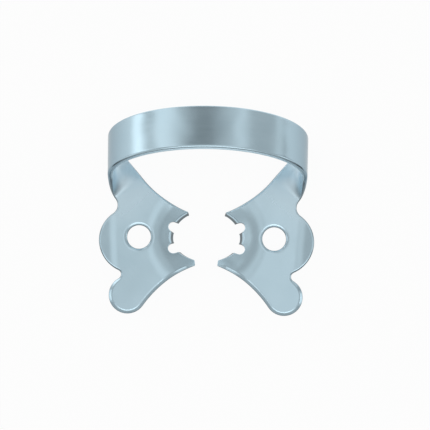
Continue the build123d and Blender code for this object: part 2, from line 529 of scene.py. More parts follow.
class FormedSheet:
    """Sheet of the right wing with its dish and fold: heights, normals, grain and painted light over the
    plan.
    """

    def __init__(self, settings):
        self.wing = settings.wing
        self.jaw = settings.jaw
        self.sheet = settings.sheet
        self.half = settings.sheet.thickness / 2
        self.points = wing_points(settings.wing)

    def height(self, plan, offset):
        """Height over the flat of the wing: the fold beyond the line between the notches, and the dish."""
        wing, points = self.wing, self.points
        low = points.lower_notch + np.array([wing.fold_inset - wing.lower_notch_r, 0])
        high = points.upper_notch + np.array([wing.fold_inset - wing.upper_notch_r, 0])
        fold_dir = unit(high - low)
        along = (plan - low) @ fold_dir
        out = -(plan - low) @ left_of(fold_dir)
        folded = (out > 0) & (along > 0) & (along < np.linalg.norm(high - low))
        return np.where(folded, fold_height(out, offset, wing), dish_height(plan, offset, self.jaw))

    def raised(self, plan, offset):
        """Plan points with their heights."""
        return np.concatenate([plan, self.height(plan, offset)[..., None]], axis=-1)

    def normal(self, plan, offset):
        """Normal of a face: minus the slopes in X and Y, and one upwards."""
        steps = np.eye(2) * SLOPE_STEP
        rises = [self.height(plan + step, offset) - self.height(plan - step, offset) for step in steps]
        slope_x, slope_y = [rise / (2 * SLOPE_STEP) for rise in rises]
        return unit(np.stack([-slope_x, -slope_y, np.ones_like(slope_x)], axis=-1))

    def grain(self, plan):
        """Distance from the root into the wing, and along the root from its mesial end."""
        from_root = plan - self.points.root_mesial
        return np.stack([-from_root @ self.points.strip_dir, from_root @ self.points.root_dir], axis=-1)

    def buffed(self, plan, offset):
        """Start of the painted light on top: a bell curve of the distance from the root."""
        into_wing, along_root = np.moveaxis(self.grain(plan), -1, 0)
        away = np.maximum(into_wing, 0) ** 2 + np.maximum(-along_root, 0) ** 2
        return PAINTED_LIGHT_START * np.exp(-away / PAINTED_LIGHT_REACH**2) * (offset > 0)


# Outline of a wing


def grip_lips(form):
    """Edges of the ground grip face on the lower and the upper face of the sheet, over half a turn. Each is
    two half ellipses whose half widths change evenly with height, so the height is put back in until
    the edge lies on the dished face."""
    jaw = form.jaw
    turn = np.linspace(-np.pi / 2, np.pi / 2, LIP_POINTS)
    offset = np.array([[-form.half], [form.half]])
    lip_z = -(jaw.dish_r - jaw.lower_x) * np.tan(jaw.dish_angle) - form.half
    lip_height = 2 * form.half / np.cos(jaw.dish_angle)
    rise = np.zeros((2, len(turn)))
    for _ in range(LIP_ROUNDS):
        half_x = jaw.lower_x + rise * (jaw.upper_x - jaw.lower_x)
        distal = jaw.lower_distal + rise * (jaw.upper_distal - jaw.lower_distal)
        mesial = jaw.lower_mesial + rise * (jaw.upper_mesial - jaw.lower_mesial)
        half_y = np.where(turn > 0, distal, mesial)
        lips = np.stack([half_x * np.cos(turn), half_y * np.sin(turn)], axis=-1)
        rise = (form.height(lips, offset) - lip_z) / lip_height
    return turn, lips


def running_length(points):
    """Length of a run of points up to each of them."""
    steps = np.linalg.norm(np.diff(points, axis=0), axis=-1)
    return np.concatenate([[0], np.cumsum(steps)])


def slot_path(jaw, slot_turn, run):
    """Points round a serration slot at running lengths: out along the side first met, over the round end
    and back along the other side."""
    reach, radius = jaw.slot_reach, jaw.slot_r
    bend = np.clip((run - reach) / radius, 0, np.pi)
    back = np.maximum(run - reach - radius * np.pi, 0)
    straight = (np.minimum(run, reach) - back)[..., None] * polar(1.0, slot_turn)
    return straight + polar(radius, slot_turn - np.pi / 2 + bend)


def slot_run(jaw, slot_turn, point, side):
    """Running length round a serration slot of points on it, on the side first met (-1) or the other (1)."""
    axis = polar(1.0, slot_turn)
    past = point @ axis - jaw.slot_reach
    bend = np.arctan2(np.maximum(past, 0), -(point @ left_of(axis)))
    return jaw.slot_reach + jaw.slot_r * bend + side * np.maximum(-past, 0)


def grip_outline(jaw, turn, lips, begin, finish):
    """Grip side of the outline on both faces between two turns of each lip: the lip, and at each serration
    slot the way round it. Also returns which points lie on a bevelled lip."""
    faces = range(2)

    def lip(turns):
        """Points of both lips at the turns given for each."""
        axes = [[np.interp(turns[f], turn, lips[f, :, axis]) for axis in range(2)] for f in faces]
        return np.moveaxis(np.array(axes), 1, -1)

    def spread(start, stop, reach):
        """Even values from start to stop for each face, without the last, at the grip's spacing."""
        count = int(np.ceil(np.max(np.abs(stop - start)) * reach / GRIP_STEP))
        return np.linspace(start, stop, count, endpoint=False, axis=-1)

    runs = []
    start = begin
    for slot_turn in (-jaw.slot_angle, jaw.slot_angle):
        axis = polar(1.0, slot_turn)
        aside = lips @ left_of(axis)
        past = np.maximum(lips @ axis - jaw.slot_reach, 0)
        outside = np.hypot(aside, past) - jaw.slot_r
        near = np.abs(turn - slot_turn) < jaw.slot_angle
        enter, leave = [
            np.array([np.interp(0, side * outside[f, part], turn[part]) for f, part in zip(faces, parts)])
            for side, parts in ((-1, near & (aside < 0)), (1, near & (aside > 0)))
        ]
        runs.append(lip(spread(start, enter, jaw.lower_x)))
        round_start = slot_run(jaw, slot_turn, lip(enter[:, None])[:, 0], -1)
        round_stop = slot_run(jaw, slot_turn, lip(leave[:, None])[:, 0], 1)
        runs.append(slot_path(jaw, slot_turn, spread(round_start, round_stop, 1.0)))
        start = leave
    runs.append(lip(spread(start, finish, jaw.lower_x)))
    on_lip = [np.full(run.shape[1], number in BEVELLED_RUNS) for number, run in enumerate(runs)]
    return np.concatenate(runs, axis=1), np.concatenate(on_lip)


def prong(start, tangent, tip, along_end, radius):
    """Edge that runs to a prong from a point along a tangent, and the round of the prong's tip."""
    whole = tangent_arc(start, tangent, tip, 1.0, PERIMETER_STEP)
    back = unit(whole[-2] - tip)
    cut = radius / np.tan(np.arccos(back @ along_end) / 2)
    edge = tangent_arc(start, tangent, tip, 1 - cut / running_length(whole)[-1], PERIMETER_STEP)
    return edge[:-1], rounded_corner(tip, back, along_end, radius, TIP_STEP)


def outer_runs(wing, jaw, points):
    """Runs of the outline before the grip face cuts it: round the side wing between its notches, round the
    tab and along the mesial edge, over the end of the prongs, and back along the distal edge."""
    step = PERIMETER_STEP
    full = 2 * np.pi
    root_turn = wing.root_angle + np.pi / 2
    upper = arc(points.upper_notch, wing.upper_notch_r, root_turn, wing.upper_notch_angle + np.pi, step)
    bulge_stop = turn_of(points.lower_notch - points.bulge)
    bulge = arc(points.bulge, wing.bulge_r, wing.upper_notch_angle, bulge_stop, step)
    notch_stop = turn_of(points.tab - points.lower_notch) + full
    lower = arc(points.lower_notch, wing.lower_notch_r, bulge_stop + np.pi, notch_stop, step)
    tab = arc(points.tab, wing.tab_r, notch_stop - np.pi, wing.tab_leave - full, step)
    tab_end = points.tab + polar(wing.tab_r, wing.tab_leave)
    tab_side = polar(1.0, wing.tab_leave - np.pi / 2)

    mesial = np.array([jaw.mesial_x, jaw.mesial_y])
    distal = np.array([jaw.distal_x, jaw.distal_y])
    end_dir = unit(distal - mesial)
    mesial_edge, mesial_tip = prong(tab_end, tab_side, mesial, end_dir, jaw.mesial_round)
    distal_edge, distal_tip = prong(points.root_distal, -points.strip_dir, distal, -end_dir, jaw.distal_round)
    end_line = line(mesial_tip[-1], distal_tip[-1], TIP_STEP)[1:]
    return (
        np.concatenate([upper, bulge, lower]),
        np.concatenate([tab, mesial_edge]),
        np.concatenate([mesial_tip, end_line, distal_tip[::-1]]),
        distal_edge[::-1],
    )


def wing_outline(form):
    """Outline of the right wing on the lower and the upper face, clockwise from the mesial end of the root
    to its distal end, and for each point how far its edge is ground instead of tumbled, and how far its
    upper edge is the wide one of the tab or the bevelled one of a lip. The grip face takes the place of
    the outline wherever the lip lies inside it."""
    beside, tabbed, end, after = outer_runs(form.wing, form.jaw, form.points)
    before = np.concatenate([beside, tabbed])
    whole = np.concatenate([before, end, after])
    turn, lips = grip_lips(form)
    end_run = running_length(end)
    shown = [np.nonzero(inside(lip, whole))[0][[0, -1]] for lip in lips]
    limits = np.array([turn[pair] for pair in shown])
    grip, on_lip = grip_outline(form.jaw, turn, lips, limits[:, 0], limits[:, 1])

    def end_piece(start, stop):
        """Pieces of the prongs' end, one for each face, between two running lengths."""
        count = int(np.ceil(np.max(np.abs(stop - start)) / GRIP_STEP))
        run = np.linspace(start, stop, count, endpoint=False, axis=-1)
        return np.stack([np.interp(run, end_run, end[:, axis]) for axis in range(2)], axis=-1)

    def nearest(point):
        """Running length of the nearest place on the prongs' end."""
        return end_run[np.argmin(np.linalg.norm(end - point, axis=-1))]

    cuts = np.array([[nearest(lip[number]) for number in pair] for lip, pair in zip(lips, shown)])
    zero = np.zeros(2)
    mesial_piece = end_piece(zero, cuts[:, 0])
    ground_run = np.concatenate([mesial_piece, grip, end_piece(cuts[:, 1], zero + end_run[-1])], axis=1)
    faces = [np.concatenate([before, run, after]) for run in ground_run]
    outline = np.stack([smoothed(face, OUTLINE_SPREAD) for face in faces])
    ground = np.zeros(outline.shape[1])
    ground[len(before) - GROUND_REACH : len(ground) - len(after) + GROUND_REACH] = 1
    wide = np.zeros(outline.shape[1])
    wide[len(beside) : len(before)] = 1
    lip = np.zeros(outline.shape[1])
    first = len(before) + mesial_piece.shape[1]
    lip[first : first + len(on_lip)] = on_lip
    spreads = ((ground, GROUND_SPREAD), (wide, WIDE_SPREAD), (lip, LIP_SPREAD))
    return outline, *[np.clip(smoothed(mark, spread), 0, 1) for mark, spread in spreads]


def eased(outline, radius):
    """Radius or width of the edge at each point of an outline, made less where the outline turns a corner
    that is tighter than the edge. From such a corner it grows by EDGE_GROWTH of the way along the outline
    at most, so that the rounds never cross."""
    steps = np.gradient(outline, axis=1)
    heading = np.unwrap(np.arctan2(steps[..., 1], steps[..., 0]), axis=1)
    bend = -np.gradient(heading, axis=1) / np.linalg.norm(steps, axis=-1)
    tightness = CORNER_ROOM * radius * np.maximum(bend, 0).max(axis=0)
    limit = radius / (1 + tightness**CORNER_POWER) ** (1 / CORNER_POWER)
    run = running_length(outline[1])
    return np.min(limit + np.abs(run[:, None] - run) * EDGE_GROWTH, axis=1)


# Surfaces of the clamp


class Shell:
    """Points, normals, grain coordinates, marks and triangles of one piece, gathered as whole arrays."""

    def __init__(self):
        self.points = []
        self.normals = []
        self.grain = []
        self.marks = []
        self.triangles = []
        self.count = 0

    def add(self, points, normals, grain, **marks):
        """Adds an array of points and returns their numbers in the same layout. Marks not given are 0."""
        layout = points.shape[:-1]
        numbers = self.count + np.arange(np.prod(layout)).reshape(layout)
        self.count += numbers.size
        self.points.append(points.reshape(-1, 3))
        self.normals.append(normals.reshape(-1, 3))
        self.grain.append(grain.reshape(-1, 2))
        columns = [np.broadcast_to(marks.get(name, 0.0), layout) for name in MARKS]
        self.marks.append(np.stack(columns, axis=-1).reshape(-1, len(MARKS)))
        return numbers

    def cover(self, grid):
        """Two triangles for each cell of a grid of point numbers, facing along first x second axis."""
        a, b, c, d = grid[:-1, :-1], grid[1:, :-1], grid[1:, 1:], grid[:-1, 1:]
        self.triangles.append(np.stack([a, b, c], axis=-1).reshape(-1, 3))
        self.triangles.append(np.stack([a, c, d], axis=-1).reshape(-1, 3))

    def gathered(self):
        """All arrays joined."""
        arrays = (self.points, self.normals, self.grain, self.marks, self.triangles)
        return [np.concatenate(parts) for parts in arrays]


def edge_profile(thickness, crease, bevel, corner, bevel_tilt, lower):
    """Section of an edge from the upper to the lower face, for every set of sizes given. The upper round is
    an arc of the crease radius up to the bevel's tilt, the bevel's straight slope and an arc of the corner
    radius down to the wall, and the lower one is a quarter round. Returns how far each point lies inside
    the outline, its offset from the middle of the sheet, and its tilt as a share of the wall's."""
    crease, bevel, corner, bend, lower = [
        np.asarray(size)[..., None] for size in (crease, bevel, corner, bevel_tilt, lower)
    ]
    first = bend * CREASE_SHARES
    second = bend + (UPRIGHT - bend) * CORNER_SHARES
    third = np.broadcast_to(LOWER_TILTS, (*lower.shape[:-1], len(LOWER_TILTS)))
    run = [
        crease * np.sin(first),
        crease * np.sin(bend) + bevel * np.cos(bend) + corner * (np.sin(second) - np.sin(bend)),
    ]
    drop = [
        crease * (1 - np.cos(first)),
        crease * (1 - np.cos(bend)) + bevel * np.sin(bend) + corner * (np.cos(bend) - np.cos(second)),
    ]
    run = np.concatenate(run, axis=-1)
    drop = np.concatenate(drop, axis=-1)
    insets = [run[..., -1:] - run, lower * (1 - np.sin(third))]
    offsets = [thickness / 2 - drop, lower * (1 - np.cos(third)) - thickness / 2]
    turned = [first / UPRIGHT, second / UPRIGHT, third / UPRIGHT]
    return [np.concatenate(parts, axis=-1) for parts in (insets, offsets, turned)]


def inner_points(outer, hole):
    """Square grid of plan points inside an outer loop and outside a hole, clear of both."""
    low, high = outer.min(axis=0), outer.max(axis=0)
    x, y = np.meshgrid(np.arange(low[0], high[0], INNER_STEP), np.arange(low[1], high[1], INNER_STEP))
    grid = np.stack([x, y], axis=-1).reshape(-1, 2)
    grid = grid[inside(grid, outer) & ~inside(grid, hole)]
    edge = np.concatenate([outer, hole])
    clear = np.linalg.norm(grid[:, None] - edge, axis=-1).min(axis=1) > INNER_CLEARANCE
    return grid[clear]


def filled(outer, hole, inner):
    """Triangles over the plan between an outer loop and a hole, through the inner points, facing up. The
    numbers count the outer loop first, then the hole and the inner points."""
    plan = np.concatenate([outer, hole, inner]) / MM
    first = np.arange(len(outer))
    second = len(outer) + np.arange(len(hole))
    loops = [np.stack([ring, np.roll(ring, -1)], axis=-1) for ring in (first, second)]
    corners = [Vector(point) for point in plan]
    edges = np.concatenate(loops).tolist()
    places, _, faces, sources, *_ = delaunay_2d_cdt(corners, edges, [], INSIDE_TRIANGLES, SAME_POINT)
    if len(places) != len(plan):
        raise RuntimeError("the edges of the wing cross each other")
    triangles = np.array([numbers[0] for numbers in sources])[np.array(faces)]
    middle = plan[triangles].mean(axis=1)
    return triangles[~inside(middle, hole / MM)]


def rim(shell, form, outline, inward, profile, ground, closed):
    """Edge profile carried along an outline, which is blended from the lower face to the upper one with the
    offset. Returns the numbers of its points, and its lower and its upper border in plan."""
    insets, offsets, turned = profile
    up = (offsets / form.sheet.thickness + 0.5)[..., None]
    base = outline[0][:, None] * (1 - up) + outline[1][:, None] * up
    into = unit(inward[0][:, None] * (1 - up) + inward[1][:, None] * up)
    plan = base + into * insets[..., None]
    place = form.raised(plan, offsets)
    around = np.concatenate([place[-1:], place, place[:1]]) if closed else place
    along = np.gradient(around, axis=0)[1:-1] if closed else np.gradient(around, axis=0)
    normals = unit(np.cross(along, np.gradient(place, axis=1)))
    normals[:, 0] = form.normal(plan[:, 0], form.half)
    normals[:, -1] = -form.normal(plan[:, -1], -form.half)
    wall = np.clip((turned - GROUND_START) / (1 - GROUND_START), 0, 1)
    ground = ground[:, None]
    marks = {
        # Marks: the wall's tilt for its painted shade, the ground faces with their painted shade, and the
        # painted light near the root
        "rim": turned * (1 - ground),
        "ground": wall * ground,
        "buffed": form.buffed(plan, offsets),
    }
    numbers = shell.add(place, normals, form.grain(plan), **marks)
    shell.cover(np.concatenate([numbers, numbers[:1]]) if closed else numbers)
    return numbers, plan[:, -1], plan[:, 0]


def wing_profile(sheet, outline, ground, wide, lip):
    """Edge profile at each point of the wing's outline: tumbled or ground, with the wide bevel of the tab or
    the steep one of a lip, and all of it narrower in tight corners."""
    lower = eased(outline, sheet.edge_round * (1 - ground) + sheet.ground_lower * ground)
    upper = sheet.edge_round * (1 - ground) + sheet.ground_upper * ground
    crease = upper * (1 - wide) + sheet.bevel_crease * wide
    bevel = sheet.bevel_width * wide + sheet.lip_bevel * lip
    corner = upper * (1 - wide) + sheet.bevel_corner * wide
    tilt = sheet.bevel_tilt * (1 - lip) + sheet.lip_tilt * lip
    width = edge_profile(sheet.thickness, crease, bevel, corner, tilt, lower)[0][:, 0]
    narrow = eased(outline, width) / width
    return edge_profile(sheet.thickness, crease * narrow, bevel * narrow, corner * narrow, tilt, lower)


def hole_rim(shell, form):
    """Rim of the forceps hole, with its gentle roll."""
    wing, sheet = form.wing, form.sheet
    away = polar(1.0, np.linspace(0, 2 * np.pi, HOLE_POINTS, endpoint=False))
    circle = np.array([wing.hole_x, wing.hole_y]) + away * wing.hole_r
    sizes = (sheet.hole_roll, 0.0, sheet.hole_corner, sheet.bevel_tilt, sheet.edge_round)
    profile = edge_profile(sheet.thickness, *[np.full(HOLE_POINTS, size) for size in sizes])
    return rim(shell, form, [circle] * 2, [away] * 2, profile, np.zeros(HOLE_POINTS), True)


def wing_face(shell, form, loop, loop_numbers, ring, ring_numbers, side):
    """Upper (side 1) or lower (side -1) face of the wing between the border of its rim, the root and the ring
    of the hole. Returns the numbers of the points along the root."""
    across = np.linspace(1, 0, ACROSS_POINTS)[1:-1, None]
    root = loop[0] * (1 - across) + loop[-1] * across
    outer = np.concatenate([loop, root])
    inner = inner_points(outer, ring)
    plan = np.concatenate([root, inner])
    offset = side * form.half
    place = form.raised(plan, offset)
    normals = side * form.normal(plan, offset)
    numbers = shell.add(place, normals, form.grain(plan), buffed=form.buffed(plan, offset))
    root_numbers, inner_numbers = np.split(numbers, [len(root)])
    known = np.concatenate([loop_numbers, root_numbers, ring_numbers, inner_numbers])
    shell.triangles.append(known[filled(outer, ring, inner)][:, ::side])
    return root_numbers


def wing_surface(shell, settings):
    """Right wing: the rims of its outline and of its hole, and the faces between them. Returns the numbers of
    the points round the root section, from the upper mesial edge over the lower face to the distal edge
    and back on top."""
    form = FormedSheet(settings)
    outline, ground, wide, lip = wing_outline(form)
    inward = -left_of(unit(np.gradient(outline, axis=1)))
    profile = wing_profile(form.sheet, outline, ground, wide, lip)
    edge, lower_loop, upper_loop = rim(shell, form, outline, inward, profile, ground, False)
    hole, lower_ring, upper_ring = hole_rim(shell, form)
    lower_root = wing_face(shell, form, lower_loop, edge[:, -1], lower_ring, hole[:, -1], -1)
    upper_root = wing_face(shell, form, upper_loop, edge[:, 0], upper_ring, hole[:, 0], 1)
    return np.concatenate([edge[0], lower_root[::-1], edge[-1, ::-1], upper_root])


def even_bezier(corners, shares):
    """Cubic curve on four control points and its direction, at shares of its length. The weights are the
    cubes and mixed products of t and 1 - t, and t is read from the running length of a fine copy."""

    def curve(t):
        """Points of the curve: the control points times their weights, added up."""
        t = t[:, None]
        weights = [(1 - t) ** 3, 3 * (1 - t) ** 2 * t, 3 * (1 - t) * t**2, t**3]
        return sum(weight * corner for weight, corner in zip(weights, corners))

    fine = np.linspace(0, 1, CURVE_POINTS)
    run = running_length(curve(fine))
    t = np.interp(shares * run[-1], run, fine)
    ahead = curve(np.minimum(t + CURVE_STEP, 1))
    behind = curve(np.maximum(t - CURVE_STEP, 0))
    return curve(t), unit(ahead - behind)


def strip_path(settings):
    """Middle, direction across, face direction and width of the strip at each station from the root over the
    right leg to the crown of the bow. The leg lies between two edge curves, and its sections stand square
    to the mean of their directions. The bow is a quarter of an ellipse, and its sections stand square
    to it with the distal edge flared outwards."""
    wing, strip = settings.wing, settings.strip
    points = wing_points(wing)
    flat = np.zeros(1)
    strip_dir = np.concatenate([points.strip_dir, flat])
    root_mesial = np.concatenate([points.root_mesial, flat])
    root_distal = np.concatenate([points.root_distal, flat])
    rise_dir = np.array([0, np.sin(strip.lean), np.cos(strip.lean)])
    depth_dir = np.array([0, np.cos(strip.lean), -np.sin(strip.lean)])
    out_dir = np.array([1.0, 0, 0])
    width_dir = depth_dir * np.cos(strip.flare) + out_dir * np.sin(strip.flare)
    spring_mesial = np.array([strip.half_width, strip.spring_y, strip.spring_z])
    spring_distal = spring_mesial + width_dir * strip.width

    def leg_edge(root, root_lead, spring, leg_lead):
        """Edge of the leg, which leaves the root flat and comes up to the spring line along the rise."""
        corners = [root, root + strip_dir * root_lead, spring - rise_dir * leg_lead, spring]
        return even_bezier(corners, np.linspace(0, 1, LEG_STATIONS))

    mesial, mesial_dir = leg_edge(
        root_mesial, strip.root_lead_mesial, spring_mesial, strip.leg_lead_mesial
    )
    distal, distal_dir = leg_edge(
        root_distal, strip.root_lead_distal, spring_distal, strip.leg_lead_distal
    )
    leg_across = unit(distal - mesial)
    leg_width = np.linalg.norm(distal - mesial, axis=-1)
    leg_face = unit(np.cross(mesial_dir + distal_dir, leg_across))

    spring_mid = (spring_mesial + spring_distal) / 2
    turn = np.linspace(0, np.pi / 2, BOW_STATIONS)[1:, None]
    axis_mid = spring_mid * np.array([0, 1, 1])
    bow = axis_mid + np.cos(turn) * spring_mid[0] * out_dir + np.sin(turn) * strip.rise * rise_dir
    bow_dir = unit(np.cos(turn) * strip.rise * rise_dir - np.sin(turn) * spring_mid[0] * out_dir)
    bow_out = unit(np.cos(turn) * strip.rise * out_dir + np.sin(turn) * spring_mid[0] * rise_dir)
    bow_across = depth_dir * np.cos(strip.flare) + bow_out * np.sin(strip.flare)
    bow_face = np.cross(bow_dir, bow_across)
    return (
        np.concatenate([(mesial + distal) / 2, bow]),
        np.concatenate([leg_across, bow_across]),
        np.concatenate([leg_face, bow_face]),
        np.concatenate([leg_width, np.full(len(bow), strip.width)]),
    )


def strip_surface(shell, settings, root):
    """Right leg and half of the bow: the rounded section of the strip carried along its path, from the root
    section of the wing to the crown, where the normals lie in the plane of symmetry. Returns the numbers
    of the points round the crown."""
    sheet = settings.sheet
    middle, across, face, width = strip_path(settings)
    run = running_length(middle)
    leg_length = run[LEG_STATIONS - 1]
    on_leg = np.minimum(run / leg_length, 1)
    outer = np.full(len(run), sheet.edge_round)
    inner = outer + (sheet.bow_inner_round - outer) * on_leg
    no_bevel = np.zeros(len(run))
    tilt = np.full(len(run), sheet.bevel_tilt)
    insets, offsets, turned = edge_profile(sheet.thickness, inner, no_bevel, inner, tilt, outer)
    half = width[:, None] / 2
    spread = np.linspace(-1, 1, ACROSS_POINTS)[1:-1]
    outer_flat = (half - outer[:, None]) * spread
    inner_flat = (half - inner[:, None]) * spread
    level = np.full(outer_flat.shape, sheet.thickness / 2)
    ways_across = [insets - half, outer_flat, half - insets[:, ::-1], inner_flat[:, ::-1]]
    place_across = np.concatenate(ways_across, axis=1)
    place_up = np.concatenate([offsets, -level, offsets[:, ::-1], level], axis=1)
    rings = (
        middle[:, None]
        + across[:, None] * place_across[..., None]
        + face[:, None] * place_up[..., None]
    )
    around = np.roll(rings, -1, axis=1) - np.roll(rings, 1, axis=1)
    normals = unit(np.cross(around, np.gradient(rings, axis=0)))
    normals[-1, :, 0] = 0
    normals = unit(normals)
    grain = np.stack([np.broadcast_to(-run[:, None], place_across.shape), place_across + half], axis=-1)
    flat = np.zeros(level.shape)
    # The painted shade on the walls of the strip fades towards the bow
    wall_shade_fade = np.clip((on_leg - WALL_SHADE_FADE_START) / (1 - WALL_SHADE_FADE_START), 0, 1) * WALL_SHADE_FADE
    rim = np.concatenate([turned, flat, turned[:, ::-1], flat], axis=1) * (1 - wall_shade_fade[:, None])
    # Painted light on the inner face, growing along the leg
    buffed = (place_up > 0) * np.clip(PAINTED_LIGHT_START + PAINTED_LIGHT_GROWTH * on_leg, 0, 1)[:, None]
    # Painted shade on the outer face at the ends of the bow
    painted_shade_fade = np.clip(1 - (run - leg_length) / PAINTED_SHADE_REACH, 0, 1) * on_leg
    dull = (place_up < 0) * painted_shade_fade[:, None]
    marks = {"rim": rim[1:], "buffed": buffed[1:], "dull": dull[1:]}
    numbers = shell.add(rings[1:], normals[1:], grain[1:], **marks)
    grid = np.concatenate([root[None], numbers]).T
    shell.cover(np.concatenate([grid, grid[:1]]))
    return numbers[-1]


def rest_pose(points, wing):
    """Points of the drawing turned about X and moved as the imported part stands: its forceps hole gives the
    tilt, by its axis, and the place. What touches the table is flat there."""
    mount = next(m for m in frame["record"]["mounts"] if m["name"] == "forceps_hole_right")
    tilt = np.arctan2(mount["axis"][1], mount["axis"][2])
    turn = np.array(Matrix.Rotation(-tilt, 3, "X"))
    hole = np.array([wing.hole_x, wing.hole_y, 0.0])
    placed = (points - hole) @ turn.T + np.array(mount["pos_m"])
    placed[:, 2] = np.maximum(placed[:, 2], 0)
    return placed, turn


def clamp_mesh(settings):
    """Mesh of the whole clamp: the right half and its mirror image, which share the points of the crown."""
    shell = Shell()
    root = wing_surface(shell, settings)
    crown = strip_surface(shell, settings, root)
    points, normals, grain, marks, triangles = shell.gathered()
    points[crown, 0] = 0
    mirror = np.array([-1.0, 1.0, 1.0])
    kept = np.setdiff1d(np.arange(len(points)), crown)
    fresh = np.full(len(points), -1)
    fresh[kept] = len(points) + np.arange(len(kept))
    fresh[crown] = crown
    points = np.concatenate([points, points[kept] * mirror])
    normals = np.concatenate([normals, normals[kept] * mirror])
    grain = np.concatenate([grain, grain[kept]])
    marks = np.concatenate([marks, marks[kept]])
    triangles = np.concatenate([triangles, fresh[triangles][:, ::-1]])
    points, turn = rest_pose(points, settings.wing)
    normals = normals @ turn.T

    mesh = bpy.data.meshes.new("clamp_sheet")
    mesh.from_pydata(points, [], triangles)
    mesh.shade_smooth()
    uv = mesh.uv_layers.new(name="grain")
    corner_vertex = np.empty(len(mesh.loops), dtype=np.int32)
    mesh.loops.foreach_get("vertex_index", corner_vertex)
    uv.uv.foreach_set("vector", grain[corner_vertex].astype(np.float32).ravel())
    for column, name in enumerate(MARKS):
        attribute = mesh.attributes.new(name, "FLOAT", "POINT")
        attribute.data.foreach_set("value", marks[:, column].astype(np.float32))
    mesh.normals_split_custom_set_from_vertices(normals)
    mesh.validate()
    return mesh


# Materials


class Value:
    """A number that varies over a surface: a node socket with Python's operators."""

    def __init__(self, graph, socket):
        self.graph = graph
        self.socket = socket

    def __add__(self, other):
        return self.graph.math("ADD", self, other)

    def __sub__(self, other):
        return self.graph.math("SUBTRACT", self, other)

    def __rsub__(self, other):
        return self.graph.math("SUBTRACT", other, self)

    def __mul__(self, other):
        return self.graph.math("MULTIPLY", self, other)

    __radd__ = __add__
    __rmul__ = __mul__


class Graph:
    """Nodes of one material or world."""

    def __init__(self, tree):
        self.tree = tree
        tree.nodes.clear()

    def node(self, kind, settings=None, sockets=None):
        """Adds a node, makes its settings first and then fills its sockets, by name or number, with values or
        links."""
        node = self.tree.nodes.new(kind)
        for name, value in (settings or {}).items():
            if name == "stops":
                self.set_stops(node.color_ramp, value)
            else:
                setattr(node, name, value)
        for name, value in (sockets or {}).items():
            socket = self.in_use(node.inputs, name)
            source = value.socket if isinstance(value, Value) else value
            if isinstance(source, bpy.types.NodeSocket):
                self.tree.links.new(source, socket)
            else:
                socket.default_value = source
        return node

    @staticmethod
    def in_use(sockets, name):
        """Socket of a number, or the socket of a name that the node's settings leave in use."""
        if isinstance(name, int):
            return sockets[name]
        return next(socket for socket in sockets if socket.name == name and socket.enabled)

    @staticmethod
    def set_stops(ramp, stops):
        """Gives a ramp its stops, from pairs of a place and a grey."""
        ramp.interpolation = "EASE"
        while len(ramp.elements) > 1:
            ramp.elements.remove(ramp.elements[-1])
        for number, (place, grey) in enumerate(stops):
            stop = ramp.elements[0] if number == 0 else ramp.elements.new(place)
            stop.position = place
            stop.color = (grey, grey, grey, 1.0)

    def ramp(self, value, stops):
        """A soft ramp of greys over a number."""
        return self.node("ShaderNodeValToRGB", {"stops": stops}, {"Fac": value}).outputs["Color"]

    def between(self, value, low, high):
        """Smooth change from 0 at one value to 1 at another."""
        sockets = {"Value": value, "From Min": low, "From Max": high}
        node = self.node("ShaderNodeMapRange", {"interpolation_type": "SMOOTHSTEP"}, sockets)
        return Value(self, node.outputs[0])

    def math(self, operation, *values):
        """A Math node on numbers and sockets."""
        node = self.node("ShaderNodeMath", {"operation": operation}, dict(enumerate(values)))
        return Value(self, node.outputs[0])

    def noise(self, vector, scale, detail):
        """Noise between 0 and 1 on a vector, with the number of features to a metre."""
        sockets = {"Vector": vector, "Scale": scale, "Detail": detail}
        return Value(self, self.node("ShaderNodeTexNoise", None, sockets).outputs["Fac"])

    def attribute(self, name):
        """A number kept on the points of the mesh."""
        return Value(self, self.node("ShaderNodeAttribute", {"attribute_name": name}).outputs["Fac"])

    def blended(self, factor, first, second):
        """Mix of two colours."""
        sockets = {"Factor": factor, "A": first, "B": second}
        node = self.node("ShaderNodeMix", {"data_type": "RGBA"}, sockets)
        return self.in_use(node.outputs, "Result")


def opaque(rgb):
    """Colour with full alpha."""
    return (*rgb, 1.0)


